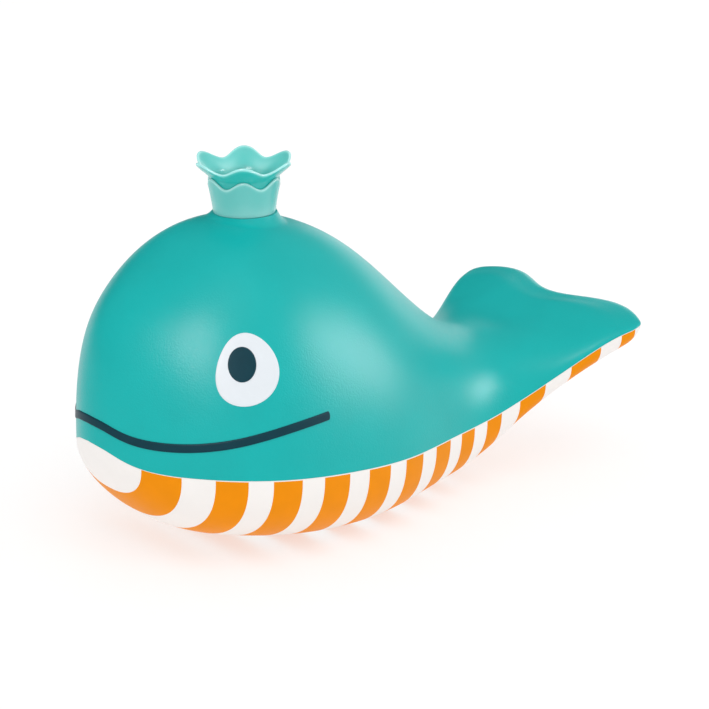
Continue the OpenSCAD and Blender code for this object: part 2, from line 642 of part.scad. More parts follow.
module reed() {
    color(reed_amber) at_crown() translate([-reed_width / 2, -reed_thickness / 2, reed_bottom])
        cube([reed_width, reed_thickness, reed_free + reed_root]);
}

upper_shell();
belly_shell();
belly_stripes();
eye_white_left();
eye_white_right();
pupil_left();
pupil_right();
mouth_line();
crown_cup();
crown_funnel();
neck_ring();
squeaker_barrel();
squeaker_cap();
reed_block();
reed_clamp();
reed();
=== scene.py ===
import math

import bmesh
import bpy
import numpy as np
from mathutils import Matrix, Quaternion, Vector


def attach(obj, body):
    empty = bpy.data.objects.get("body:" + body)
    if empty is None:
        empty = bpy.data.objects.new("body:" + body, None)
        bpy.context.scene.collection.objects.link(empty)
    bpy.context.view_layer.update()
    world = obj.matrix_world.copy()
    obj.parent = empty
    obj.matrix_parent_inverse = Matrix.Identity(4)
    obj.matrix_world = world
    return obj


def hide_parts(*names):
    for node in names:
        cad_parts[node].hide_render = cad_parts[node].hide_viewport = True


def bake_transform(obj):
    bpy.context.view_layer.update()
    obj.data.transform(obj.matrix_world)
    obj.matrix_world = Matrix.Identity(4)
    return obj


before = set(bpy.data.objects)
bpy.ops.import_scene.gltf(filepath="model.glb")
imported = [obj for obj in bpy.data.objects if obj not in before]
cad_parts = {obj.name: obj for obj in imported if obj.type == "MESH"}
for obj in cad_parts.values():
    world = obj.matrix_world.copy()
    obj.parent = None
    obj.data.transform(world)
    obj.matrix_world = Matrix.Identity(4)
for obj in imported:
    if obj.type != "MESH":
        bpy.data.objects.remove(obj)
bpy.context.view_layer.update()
scene = bpy.context.scene
mm = 0.001
print("frame loaded:", len(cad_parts), "nodes")


# view: the photo's own angle, on a 709 x 709 frame

viewSettings = {
    "place": (-0.43677, -0.59268, 0.27845),
    "azimuth": -36.65,
    "elevation": 17.66,
    "focalPixels": 2584.15,
    "framePixels": 709,
    "sensor": 36.0,
    "clip": (0.02, 30.0),
}


def makeCamera(s):
    data = bpy.data.cameras.new("photoCamera")
    data.sensor_width = s["sensor"]
    data.lens = s["focalPixels"] * s["sensor"] / s["framePixels"]
    data.clip_start, data.clip_end = s["clip"]
    camera = bpy.data.objects.new("photoCamera", data)
    camera.location = s["place"]
    camera.rotation_euler = (math.radians(90 - s["elevation"]), 0, math.radians(s["azimuth"]))
    scene.collection.objects.link(camera)
    scene.camera = camera


makeCamera(viewSettings)
print("camera placed")


# meshes from arrays, in millimetres until they are put into Blender

# grid of points numbered row by row from first: each cell is the four corners of one square
def gridCells(first, rows, columns):
    n = first + np.arange(rows * columns).reshape(rows, columns)
    return np.stack([n[:-1, :-1], n[1:, :-1], n[1:, 1:], n[:-1, 1:]], -1)


# rings of points stacked along a path: as a grid, with the last column joined to the first
def ringCells(first, rings, count):
    n = first + np.arange(rings * count).reshape(rings, count)
    n = np.concatenate([n, n[:, :1]], 1)
    return np.stack([n[:-1, :-1], n[1:, :-1], n[1:, 1:], n[:-1, 1:]], -1)


# points and cells become one closed mesh: same points are merged, which closes poles and seams,
# and the faces are turned outwards by the sign of the volume they enclose; tint, where given, is a
# value for each point that the finish reads, holding painted light as well as the plastic's colour
def makePiece(name, points, cells, sharp=38, tintAndPaintedLight=None):
    mergeWithin, tooShort = 1.5e-6, 5e-7  # metres
    used, cells = np.unique(cells.reshape(-1, 4), return_inverse=True)
    mesh = bpy.data.meshes.new(name)
    mesh.from_pydata((points.reshape(-1, 3)[used] * mm).tolist(), [], cells.reshape(-1, 4).tolist())
    if tintAndPaintedLight is not None:
        tints = mesh.attributes.new("tintAndPaintedLight", "FLOAT", "POINT")
        tints.data.foreach_set("value", tintAndPaintedLight.reshape(-1)[used].astype(np.float32))
    work = bmesh.new()
    work.from_mesh(mesh)
    bmesh.ops.remove_doubles(work, verts=work.verts, dist=mergeWithin)
    bmesh.ops.dissolve_degenerate(work, edges=work.edges, dist=tooShort)
    bmesh.ops.recalc_face_normals(work, faces=work.faces)
    if work.calc_volume(signed=True) < 0:
        bmesh.ops.reverse_faces(work, faces=work.faces)
    openEdges = sum(1 for e in work.edges if not e.is_manifold)
    work.to_mesh(mesh)
    work.free()
    mesh.shade_smooth()
    mesh.set_sharp_from_angle(angle=math.radians(sharp))
    piece = bpy.data.objects.new(name, mesh)
    scene.collection.objects.link(piece)
    print(name, "faces", len(mesh.polygons), "open edges", openEdges)
    return piece


# smooth step from 0 to 1
def ease(t):
    u = np.clip(t, 0, 1)
    return u * u * (3 - 2 * u)


# the body's lines plan: distance behind the nose, then half width or height

bodyLines = {
    "noseX": -89.0,
    "spine": 171.0,
    "noseUp": 35.6,
    "plan": [(5, 14.9), (18, 31.9), (38, 42.5), (62, 43), (86, 38.5), (110, 29.5), (130, 26.6), (148, 32),
             (161, 38.3), (171, 41.2)],
    "back": [(5, 65.8), (18, 80.5), (38, 91.5), (62, 91.5), (86, 80), (110, 58.7), (130, 46.3), (148, 46),
             (161, 48.2), (171, 53.5)],
    "seam": [(1.3, 34.4), (5, 31.4), (18, 29.5), (38, 28), (62, 25.5), (86, 23.5), (110, 22.5), (130, 25.2),
             (148, 35.5), (161, 44.8), (171, 48)],
    "keel": [(5, 22.4), (18, 9.3), (38, 2.5), (62, -1.7), (86, -2.2), (110, 0.5), (130, 7.5), (148, 23.7),
             (161, 33.5), (171, 40)],
    "topPower": 2.15,
    "bellyPower": 2.3,
    "lobeReach": 7.0,
    "edgeRound": 6.0,
    "tipRound": 5.0,
    "flukeRise": 1.0,
    "flukeDish": 0.45,
    "dishWidth": 0.45,
    "flukeCrest": 4.2,
    "crestAt": 159.5,
    "crestFront": 9.0,
    "crestRear": 6.0,
    "sweepStart": 135.0,
    "wall": 2.4,
    "hollowEnd": 131.0,
    "tailBlend": 6.0,
    "glueLine": 0.06,
}


# natural cubic spline over the square root of the distance behind the nose, which makes the nose round
def fairLine(stations, first):
    knots = np.sqrt(np.array([0.0] + [s[0] for s in stations]) / bodyLines["spine"])
    heights = np.array([first] + [s[1] for s in stations], float)
    gaps = np.diff(knots)
    inner = np.arange(1, len(knots) - 1)
    system = np.eye(len(knots))
    system[inner, inner - 1] = gaps[:-1]
    system[inner, inner] = 2 * (gaps[:-1] + gaps[1:])
    system[inner, inner + 1] = gaps[1:]
    pull = np.zeros(len(knots))
    pull[1:-1] = 6 * np.diff(np.diff(heights) / gaps)
    bends = np.linalg.solve(system, pull)

    def at(d):
        s = np.sqrt(np.maximum(d, 0) / bodyLines["spine"])
        i = np.clip(np.searchsorted(knots, s, side="right") - 1, 0, len(gaps) - 1)
        h = gaps[i]
        a, b = (knots[i + 1] - s) / h, (s - knots[i]) / h
        straight = a * heights[i] + b * heights[i + 1]
        return straight + ((a**3 - a) * bends[i] + (b**3 - b) * bends[i + 1]) * h * h / 6
    return at


planAt = fairLine(bodyLines["plan"], 0)
backAt = fairLine(bodyLines["back"], bodyLines["noseUp"])
seamAt = fairLine(bodyLines["seam"], bodyLines["noseUp"])
keelAt = fairLine(bodyLines["keel"], bodyLines["noseUp"])


# share of the thickness left towards the trailing edge: a quarter round over the last few millimetres
def closing(d):
    over = np.maximum(0, d - bodyLines["spine"] + bodyLines["edgeRound"]) / bodyLines["edgeRound"]
    return np.sqrt(np.maximum(0, 1 - over**2))


# how far the flukes have swept back: 0 ahead of them, 1 at the end of the spine
def sweepBack(d):
    return ease((d - bodyLines["sweepStart"]) / (bodyLines["spine"] - bodyLines["sweepStart"]))


def halfWidth(d):
    return planAt(d) - bodyLines["tipRound"] * (1 - closing(d))


def seamMiddle(d):
    return seamAt(d) + bodyLines["flukeRise"] * sweepBack(d)


def upperRise(d):
    return (backAt(d) - seamMiddle(d)) * closing(d)


def bellyDrop(d):
    return (seamMiddle(d) - keelAt(d)) * closing(d)


# surface between the two halves: side runs from -1 to 1 across the body, and the lobes of the
# flukes reach back in a wave of it, furthest at two thirds of the way out
def partingAt(d, side):
    wave = (1 - np.cos(np.radians(270) * np.abs(side))) / 2
    x = bodyLines["noseX"] + d + bodyLines["lobeReach"] * sweepBack(d) * wave
    y = halfWidth(d) * side
    z = seamAt(d) + bodyLines["flukeRise"] * sweepBack(d) * (1 - side**2)
    return np.stack(np.broadcast_arrays(x, y, z), -1)


# superellipse section: the angle runs from 0 at one seam over the body to 180 degrees at the other
def sectionSide(angle, power):
    return -np.sign(np.cos(angle)) * np.abs(np.cos(angle)) ** (2 / power)


def sectionLift(angle, power):
    return np.abs(np.sin(angle)) ** (2 / power)


# upper skin is the parting surface lifted by the back's height times the section, less a dish between
# the lobes and with a low crest along them; the belly drops by the keel's depth instead, and is cut
# flat where it rests
def upperSkin(d, angle):
    side = sectionSide(angle, bodyLines["topPower"])
    dish = 1 - bodyLines["flukeDish"] * sweepBack(d) * np.exp(-(side / bodyLines["dishWidth"]) ** 2)
    flank = np.where(d < bodyLines["crestAt"], bodyLines["crestFront"], bodyLines["crestRear"])
    crest = bodyLines["flukeCrest"] * np.exp(-((d - bodyLines["crestAt"]) / flank) ** 2) * closing(d)
    skin = partingAt(d, side)
    lift = sectionLift(angle, bodyLines["topPower"])
    skin[..., 2] += bodyLines["glueLine"] / 2 + (upperRise(d) + crest) * lift * dish
    return skin


def bellySkin(d, angle):
    skin = partingAt(d, sectionSide(angle, bodyLines["bellyPower"]))
    skin[..., 2] -= bodyLines["glueLine"] / 2 + bellyDrop(d) * sectionLift(angle, bodyLines["bellyPower"])
    skin[..., 2] = np.maximum(0, skin[..., 2])
    return skin


# outward direction of a skin: the cross product of its two grid directions, turned away from the middle
def outward(skin, d):
    along = np.gradient(skin, axis=0)
    across = np.gradient(skin, axis=1)
    n = np.cross(along, across)
    n /= np.maximum(np.linalg.norm(n, axis=-1, keepdims=True), 1e-12)
    middle = partingAt(d, np.zeros(1))
    n *= np.where(np.sum(n * (skin - middle), -1, keepdims=True) < 0, -1.0, 1.0)
    n[0] = (-1.0, 0.0, 0.0)
    seamSides = n[:, [0, -1]]
    seamSides[..., 2] = 0
    n[:, [0, -1]] = seamSides / np.linalg.norm(seamSides, axis=-1, keepdims=True)
    return n


# share of the solid tail: 0 over the hollow, 1 behind it, with the thin ends of the blend cut off
def solidShare(d):
    thin = 0.02
    share = ease((d - bodyLines["hollowEnd"] + bodyLines["tailBlend"] / 2) / bodyLines["tailBlend"])
    return np.where(share < thin, 0.0, np.where(share > 1 - thin, 1.0, share))


# inside of a half: the skin moved in by its wall over the hollow, then the parting surface across the
# solid tail
def insideOf(skin, normals, d, angle, power, level):
    hollow = skin - bodyLines["wall"] * normals
    deck = partingAt(d, sectionSide(angle, power))
    deck[..., 2] += level
    fade = solidShare(d)[..., None]
    return hollow * (1 - fade) + deck * fade


# rows between two distances, even in the square root so that they close up at the nose
def rowsBetween(a, b, count):
    return np.linspace(math.sqrt(a), math.sqrt(b), count + 1)[:-1] ** 2


# rows over the rounded trailing edge, closing up at its end
def edgeRows(count):
    start = bodyLines["spine"] - bodyLines["edgeRound"]
    return start + bodyLines["edgeRound"] * np.sin(np.linspace(0, math.pi / 2, count))


# half width of the upper skin at a height, where the prints of the face lie
def halfWidthAt(d, z):
    lift = np.clip((z - seamMiddle(d) - bodyLines["glueLine"] / 2) / np.maximum(upperRise(d), 1e-9), 0, 1)
    power = bodyLines["topPower"]
    return halfWidth(d) * (1 - lift**power) ** (1 / power)


# height of the upper skin over a place on the back, ahead of the flukes
def backHeight(x, y):
    d = x - bodyLines["noseX"]
    power = bodyLines["topPower"]
    side = np.clip(np.abs(y) / halfWidth(d), 0, 1)
    return seamMiddle(d) + bodyLines["glueLine"] / 2 + upperRise(d) * (1 - side**power) ** (1 / power)


# upper shell: skin and inside as two grids, joined along the seam; round the crown a patch of both
# grids gives way to rings that run from the patch's edge into the neck tube and back

crownSeat = {"x": -35.0, "z": 93.7409, "turn": 55.0, "points": 6, "pointSteps": 40}

upperShell = {
    "rows": 200,
    "edgeRows": 16,
    "columns": 132,
    "patchRows": (39.0, 72.0),
    "patchAngles": (70.0, 110.0),
    "neckBore": 7.0,
    "neckRadius": 9.4,
    "neckLength": 11.0,
    "neckBevel": 0.3,
    "ringSteps": 12,
    "fillet": 2.4,
}


def makeUpperShell(s):
    roundStart = bodyLines["spine"] - bodyLines["edgeRound"]
    d = np.concatenate([rowsBetween(0, roundStart, s["rows"]), edgeRows(s["edgeRows"])])
    angle = np.radians(np.linspace(0, 180, s["columns"] + 1))[None, :]
    skin = upperSkin(d[:, None], angle)
    normals = outward(skin, d[:, None])
    inside = insideOf(skin, normals, d[:, None], angle, bodyLines["topPower"], bodyLines["glueLine"] / 2)
    rows, columns = skin.shape[:2]

    # edge of the patch, as row and column numbers in order round it
    top, bottom = np.searchsorted(d, s["patchRows"])
    near, far = np.searchsorted(np.degrees(angle[0]), s["patchAngles"])
    downRows, overColumns = np.arange(top, bottom), np.arange(near, far)
    ringRows = np.concatenate([np.full(far - near, top), downRows,
                               np.full(far - near, bottom), downRows[::-1] + 1])
    ringColumns = np.concatenate([overColumns, np.full(bottom - top, far),
                                  overColumns[::-1] + 1, np.full(bottom - top, near)])
    skinRim, insideRim = skin[ringRows, ringColumns], inside[ringRows, ringColumns]
    turn = np.arctan2(skinRim[:, 1], skinRim[:, 0] - crownSeat["x"])

    def circle(radius, z):
        x, y = crownSeat["x"] + radius * np.cos(turn), radius * np.sin(turn)
        return np.stack([x, y, np.full_like(x, z)], -1)

    # rings slide from the patch's edge to the neck, on the skin, with a hollow fillet up to the seat
    share = np.linspace(0, 1, s["ringSteps"] + 1)[1:, None, None]
    rings = skinRim * (1 - share) + circle(s["neckRadius"], 0) * share
    radius = np.hypot(rings[..., 0] - crownSeat["x"], rings[..., 1])
    rings[..., 2] = backHeight(rings[..., 0], rings[..., 1])
    climb = np.clip(1 - (radius - s["neckRadius"]) / s["fillet"], 0, 1) ** 2
    rings[..., 2] += climb * (crownSeat["z"] - rings[..., 2])
    low = crownSeat["z"] - s["neckLength"]
    under = insideRim * (1 - share[:-1]) + circle(s["neckRadius"], 0) * share[:-1]
    under[..., 2] = backHeight(under[..., 0], under[..., 1]) - bodyLines["wall"]
    neckFoot = circle(s["neckRadius"], 0)
    neckFoot[:, 2] = backHeight(neckFoot[:, 0], neckFoot[:, 1]) - bodyLines["wall"]
    bevel = s["neckBevel"]
    neck = np.stack([circle(s["neckBore"] + bevel, crownSeat["z"]),
                     circle(s["neckBore"], crownSeat["z"] - bevel),
                     circle(s["neckBore"], low), circle(s["neckRadius"], low), neckFoot])
    rings = np.concatenate([skinRim[None], rings, neck, under[::-1], insideRim[None]])

    keep = np.ones((rows - 1, columns - 1), bool)
    keep[top:bottom, near:far] = False
    size = rows * columns
    seams = np.stack([np.stack([skin[:, j], inside[:, j]], 1) for j in (0, -1)])
    points = np.concatenate([part.reshape(-1, 3) for part in (skin, inside, rings, seams)])
    ringFirst = 2 * size
    seamFirst = ringFirst + rings.shape[0] * rings.shape[1]
    cells = np.concatenate([gridCells(0, rows, columns)[keep], gridCells(size, rows, columns)[keep],
                            ringCells(ringFirst, rings.shape[0], rings.shape[1]).reshape(-1, 4),
                            gridCells(seamFirst, rows, 2).reshape(-1, 4),
                            gridCells(seamFirst + 2 * rows, rows, 2).reshape(-1, 4)])
    return makePiece("tealUpper", points, cells)


tealUpper = makeUpperShell(upperShell)
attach(tealUpper, "upper")
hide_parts("upper_shell")
print("upper shell done")


# belly and its stripes: one grid whose rows fall on the stripes' edges; cells of a stripe are let
# in by its depth, with walls where a let-in cell meets a plain one, and the stripe fills them

bellyShell = {
    "noseRows": 16,
    "rowLength": 1.15,
    "edgeRows": 14,
    "edgeSpace": 0.12,
    "columns": 120,
    "margin": 0.35,
    "lipClearance": 0.4,
    "lipThickness": 1.2,
    "lipHeight": 2.4,
    "lipTaper": 0.2,
}

bellyStripes = {
    "startAndWidth": [(6.5, 7), (20.3, 7.6), (34.5, 8.6), (50.5, 9.1), (67, 8.6), (82.5, 8.4), (98, 7.7),
                      (111.5, 6.3), (123.3, 5.7), (135.4, 7.6), (149.7, 7.4), (162.6, 4.2)],
    "depth": 0.4,
}


def makeBelly(s, stripes):
    # rows in spans between the stripes' edges, so that each edge is a row
    edges = np.array(stripes["startAndWidth"], float)
    edges = np.stack([edges[:, 0], edges.sum(1)], -1)
    roundStart = bodyLines["spine"] - bodyLines["edgeRound"]
    marks = np.concatenate([[0.0], edges.ravel()[edges.ravel() < roundStart], [roundStart]])
    spans = [rowsBetween(a, b, max(2, math.ceil((b - a) / s["rowLength"])))
             for a, b in zip(marks[:-1], marks[1:])]
    spans[0] = rowsBetween(0, marks[1], s["noseRows"])
    last = edges.ravel()[edges.ravel() >= roundStart]
    rounded = edgeRows(s["edgeRows"])
    rounded = rounded[np.min(np.abs(rounded[:, None] - last[None, :]), 1) > s["edgeSpace"]]
    d = np.concatenate(spans + [np.sort(np.concatenate([rounded, last]))])
    even = np.linspace(0, 180, s["columns"] + 1)[1:-1]
    angle = np.radians(np.concatenate([[0, s["margin"]], even, [180 - s["margin"], 180]]))[None, :]
    skin = bellySkin(d[:, None], angle)
    normals = outward(skin, d[:, None])
    inside = insideOf(skin, normals, d[:, None], angle, bodyLines["bellyPower"], -bodyLines["glueLine"] / 2)
    floor = skin - stripes["depth"] * normals
    rows, columns = skin.shape[:2]

    # which cells belong to a stripe: their middle row lies in one, and they stay below the margin
    middle = (d[1:] + d[:-1]) / 2
    striped = np.any((middle[:, None] > edges[:, 0]) & (middle[:, None] < edges[:, 1]), 1)
    letIn = np.repeat(striped[:, None], columns - 1, 1)
    letIn[:, [0, -1]] = False
    letIn[-1] = False
    size = rows * columns
    plain, sunk = gridCells(0, rows, columns), gridCells(size, rows, columns)
    n = np.arange(size).reshape(rows, columns)
    acrossEdge = np.zeros((rows, columns - 1), bool)
    acrossEdge[1:-1] = letIn[1:] != letIn[:-1]
    alongEdge = np.zeros((rows - 1, columns), bool)
    alongEdge[:, 1:-1] = letIn[:, 1:] != letIn[:, :-1]
    acrossWalls = np.stack([n[:, :-1], n[:, 1:], n[:, 1:] + size, n[:, :-1] + size], -1)[acrossEdge]
    alongWalls = np.stack([n[:-1], n[1:], n[1:] + size, n[:-1] + size], -1)[alongEdge]
    stripeCells = np.concatenate([plain[letIn], sunk[letIn], acrossWalls, alongWalls])
    stripesPiece = makePiece("orangeStripes", np.stack([skin, floor]), stripeCells)

    # rim under the seam: out to the lip, up, over and down to the hollow, fading out over the solid tail
    fade = 1 - solidShare(d)[:, None, None]
    lipOut = bodyLines["wall"] + s["lipClearance"]
    lipIn = lipOut + s["lipThickness"]
    inset = np.array([0, lipOut, lipOut + s["lipTaper"], lipIn - s["lipTaper"], lipIn])[None, :, None]
    rise = np.array([0, 0, 1, 1, 0])[None, :, None] * np.array([0, 0, s["lipHeight"]])
    seams = []
    for j in (0, -1):
        seam = skin[:, [j]] - inset * fade * normals[:, [j]] + rise * fade
        seam[:, -1] = inside[:, j]  # the hollow's edge lies under the lip's inner side
        seams.append(seam)
    points = np.concatenate([part.reshape(-1, 3) for part in (skin, floor, inside, *seams)])
    seamFirst = 3 * size
    rim = seams[0].shape[1]
    cells = np.concatenate([plain[~letIn], sunk[letIn], acrossWalls, alongWalls,
                            gridCells(2 * size, rows, columns).reshape(-1, 4),
                            gridCells(seamFirst, rows, rim).reshape(-1, 4),
                            gridCells(seamFirst + rows * rim, rows, rim).reshape(-1, 4)])
    return makePiece("whiteBelly", points, cells), stripesPiece


whiteBelly, orangeStripes = makeBelly(bellyShell, bellyStripes)
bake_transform(whiteBelly)
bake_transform(orangeStripes)
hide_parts("belly_shell")
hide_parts("belly_stripes")
print("belly done")


# printed face: each eye is an egg of rings on the cheek, and the mouth a band along the smile

eyePrint = {
    "back": 30.2,
    "up": 59.6,
    "width": 16.0,
    "height": 19.2,
    "lean": 10.0,
    "bow": 0.8,
    "taper": 0.14,
    "foot": -0.1,
    "lift": 0.22,
}

pupilPrint = {
    "forward": 0.8,
    "up": 1.6,
    "width": 7.0,
    "height": 9.2,
    "overlap": 0.05,
    "lift": 0.4,
}


# egg seen from the side: an ellipse narrowed towards its top, leaned back, with its sides bowed back,
# and filled by rings from its middle; the rings rise to the print's face, round over its edge and
# return under it
def makePatch(name, back, up, width, height, taper, lean, bow, hand, foot, lift):
    around = 128
    turn = np.linspace(0, 2 * math.pi, around + 1)[:-1][None, :]
    share = np.array([0, 0.15, 0.3, 0.45, 0.6, 0.75, 0.86, 0.93, 0.965, 0.985, 0.996,
                      1, 0.99, 0.8, 0.5, 0.25, 0])[:, None]
    raised = np.array([1, 1, 1, 1, 1, 1, 1, 1, 0.97, 0.86, 0.6,
                       0.2, 0, 0, 0, 0, 0])[:, None]
    rise = height / 2 * np.sin(turn)
    egg = width / 2 * np.cos(turn) * (1 - taper * np.sin(turn))
    run = egg + rise * math.tan(math.radians(lean)) + bow * np.cos(turn) ** 2
    d, z = back + share * run, up + share * rise
    y = hand * (halfWidthAt(d, z) + foot + raised * (lift - foot))
    points = np.stack([bodyLines["noseX"] + d, y, z], -1)
    return makePiece(name, points, ringCells(0, *points.shape[:2]), sharp=60)


def makeEyes(s, p):
    eyes = {}
    for side, hand in (("Left", -1), ("Right", 1)):
        eyes["eyeWhite" + side] = makePatch(
            "eyeWhite" + side, s["back"], s["up"], s["width"], s["height"], s["taper"],
            s["lean"], s["bow"], hand, s["foot"], s["lift"])
        eyes["pupil" + side] = makePatch(
            "pupil" + side, s["back"] - p["forward"], s["up"] + p["up"], p["width"], p["height"], 0,
            s["lean"], 0, hand, s["lift"] - p["overlap"], p["lift"])
    return eyes


faceParts = makeEyes(eyePrint, pupilPrint)
faceNodes = (
    ("eyeWhiteLeft", "eye_white_left", "white_print"),
    ("eyeWhiteRight", "eye_white_right", "white_print"),
    ("pupilLeft", "pupil_left", "navy_print"),
    ("pupilRight", "pupil_right", "navy_print"),
)
for pieceName, nodeName, slotName in faceNodes:
    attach(faceParts[pieceName], "upper")
    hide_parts(nodeName)

mouthPrint = {
    "smile": [(1.2, 41.3), (4.5, 39), (11, 38), (26, 40), (40, 42.6), (53, 44)],
    "noseUp": 42.2,
    "back": 53.0,
    "width": 2.5,
    "foot": -0.1,
    "lift": 0.22,
    "endRound": 0.004,
    "steps": 240,
    "frontReach": 4.0,
    "frontSteps": 4000,
    "slopeStep": 0.02,
}


# band along the smile: u runs from one corner round the nose to the other, its distance behind the
# front of the skin grows as its square, and the section goes over the print's face and back under it
def makeMouth(s):
    smileAt = fairLine(s["smile"], s["noseUp"])
    u = np.sin(np.linspace(-math.pi / 2, math.pi / 2, s["steps"] + 1))[:, None]
    # half width of the line, cut nearly square at its corners
    intoEnd = ((np.abs(u) - 1 + s["endRound"]) / s["endRound"]).clip(0, 1)
    half = s["width"] / 2 * np.sqrt(np.clip(1 - intoEnd**2, 0, 1))
    across = np.array([-1, -0.98, -0.93, -0.6, 0, 0.6, 0.93, 0.98, 1, 0.9, 0, -0.9])[None, :]
    raised = np.array([0.2, 0.7, 1, 1, 1, 1, 1, 0.7, 0.2, 0, 0, 0])[None, :]
    lift = s["foot"] + raised * (s["lift"] - s["foot"])
    z = smileAt(s["back"] * u**2) + half * across
    # where the front of the skin reaches that height
    reach = np.linspace(0, s["frontReach"], s["frontSteps"] + 1)
    front = np.interp(z, seamMiddle(reach) + bodyLines["glueLine"] / 2 + upperRise(reach), reach)
    d = front + (s["back"] - front) * u**2
    # the print lies square to the skin, and points straight ahead at the nose
    before, after = np.maximum(d - s["slopeStep"], front), d + s["slopeStep"]
    slope = (halfWidthAt(after, z) - halfWidthAt(before, z)) / (after - before)
    atNose, straightAhead = np.abs(u) < 1e-9, 1e6
    side = np.where(atNose, 0.0, np.sign(u))
    slope = np.where(atNose, straightAhead, slope)
    level = np.sqrt(1 + slope**2)
    x = bodyLines["noseX"] + d - lift * slope / level
    points = np.stack(np.broadcast_arrays(x, side * (halfWidthAt(d, z) + lift / level), z), -1)
    points = np.concatenate([points[:1].mean(1, keepdims=True).repeat(points.shape[1], 1), points,
                             points[-1:].mean(1, keepdims=True).repeat(points.shape[1], 1)])
    return makePiece("mouthSmile", points, ringCells(0, *points.shape[:2]), sharp=60)


mouthSmile = makeMouth(mouthPrint)
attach(mouthSmile, "upper")
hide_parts("mouth_line")
print("face done")


# crown: two turned walls with wavy rims, on a stem with a groove; every ring is a radius and a
# height for each direction round the axis

crownCup = {
    "radius": 9.0,
    "height": 10.8,
    "flare": 2.0,
    "power": 1.3,
    "wall": 0.8,
    "floor": 1.6,
    "wave": 2.4,
    "footRound": 0.25,
    "footMiddle": 0.07,
    "floorRound": 0.5,
    "floorMiddle": 0.15,
    "stemRadius": 6.9,
    "stemBore": 5.0,
    "stemLength": 15.0,
    "stemBevel": 0.2,
    "grooveRadius": 6.2,
    "grooveTop": 11.1,
    "grooveBottom": 12.8,
    # the pale tint at the rim is a painted highlight along its edge, fading a short way down the wall
    "tints": {"outside": 0.4, "foot": 0.3, "inside": 0.3, "rim": 0.85, "rimHighlightFade": 0.3, "paintedGlow": 0.0},
}

crownFunnel = {
    "height": 15.9,
    "wave": 2.5,
    "flare": 4.9,
    "flareFrom": 10.4,
    "flareBend": 0.12,
    "power": 1.35,
    "wall": 0.9,
    "nestGap": 0.03,
    "tubeRadius": 4.9,
    "tubeLength": 2.0,
    "tubeBevel": 0.2,
    "throat": 3.6,
    "throatBevel": 0.3,
    "bevel": 1.5,
    "bowlBend": (0.6, 0.5),
    "shoulder": 1.7,
    # the deep outside is partly a deeper tone of the plastic and partly painted shade between the two rims;
    # the pale rim is a painted highlight, and the inside windows are painted light coming through the wall
    "tints": {"outside": 0.05, "foot": 0.0, "inside": 0.36, "rim": 0.85, "rimHighlightFade": 0.3, "paintedGlow": 0.4},
}

crownTurn = np.linspace(0, 2 * math.pi, crownSeat["points"] * crownSeat["pointSteps"] + 1)[:-1][None, :]


# rim height round the crown: a cosine with one crest at each point
def rimAt(height, wave):
    crest = np.cos(crownSeat["points"] * (crownTurn - math.radians(crownSeat["turn"])))
    return height - wave / 2 + wave / 2 * crest


def cupRadius(up):
    s = crownCup
    return s["radius"] + s["flare"] * (np.maximum(up, 0) / s["height"]) ** s["power"]


# the funnel follows the inside of the cup, bends softly into its flare at the cup's rim and turns upright
# towards its points
def funnelRadius(up):
    s = crownFunnel
    over = np.clip((up - s["flareFrom"]) / (s["height"] - s["flareFrom"]), 0, 1)
    bend = s["flareBend"]
    over = (np.sqrt(over**2 + bend**2) - bend) / (math.sqrt(1 + bend**2) - bend)
    nested = cupRadius(np.minimum(up, crownCup["height"])) - crownCup["wall"] - s["nestGap"]
    return nested + s["flare"] * (1 - (1 - over) ** s["power"])


# wall between two heights: up the outside, round over the rim, down the inside; its faces lie half a
# wall to either side of a middle line, square to it. The third result is a tint, partly the see-through
# plastic's own colour and partly painted light: plain on the faces, paler towards the outside's foot,
# pale in windows inside below the rim's troughs as painted light coming through the wall, and palest
# at the rim as a painted highlight along its edge
def wavyWall(radiusAt, low, rim, wall, innerLow, tints):
    rows, crowding, step = 22, 0.7, 0.01
    paintedGlowAt, paintedGlowWidth = 0.72, 0.22  # shares of the way up the wall
    rise = np.linspace(0, 1, rows)[:, None] ** crowding

    def faces(up, side):
        slope = (radiusAt(up + step) - radiusAt(up - step)) / (2 * step)
        level = np.sqrt(1 + slope**2)
        thick = wall / level
        middle = radiusAt(up) - wall / 2
        r, z = middle + side * thick / 2 / level, up - side * thick / 2 * slope / level
        return r, z, slope / level, 1 / level, thick, middle

    outR, outZ = faces(low + rise * (rim - low), 1)[:2]
    inR, inZ = faces(innerLow + rise[::-1] * (rim - innerLow), -1)[:2]
    bend = np.radians(np.linspace(0, 180, 9)[1:-1])[:, None]
    _, _, lean, stand, thick, middle = faces(rim, 1)
    capR = middle + thick / 2 * (np.cos(bend) * stand + np.sin(bend) * lean)
    capZ = rim + thick / 2 * (-np.cos(bend) * lean + np.sin(bend) * stand)
    # painted highlight: the tint turns pale over the last part of the wall below the rim
    rimHighlightFade = np.exp(-(1 - rise) * (rim - low) / tints["rimHighlightFade"])
    outsideTintAndRimHighlight = tints["outside"] + tints["foot"] * (1 - rise) ** 2
    outsideTintAndRimHighlight = outsideTintAndRimHighlight + (tints["rim"] - outsideTintAndRimHighlight) * rimHighlightFade
    # painted light coming through the wall: pale patches inside, below the rim's troughs, some way up
    trough = (rim.max() - rim) / np.maximum(rim.max() - rim.min(), 1e-9)
    paintedGlow = trough * np.exp(-((rise[::-1] - paintedGlowAt) / paintedGlowWidth) ** 2)
    insideTintAndPaintedLight = tints["inside"] + tints["paintedGlow"] * paintedGlow
    insideTintAndPaintedLight = insideTintAndPaintedLight + (tints["rim"] - insideTintAndPaintedLight) * rimHighlightFade[::-1]
    tintAndPaintedLight = np.concatenate([outsideTintAndRimHighlight, np.full_like(capR, tints["rim"]), insideTintAndPaintedLight])
    return np.concatenate([outR, capR, inR]), np.concatenate([outZ, capZ, inZ]), tintAndPaintedLight


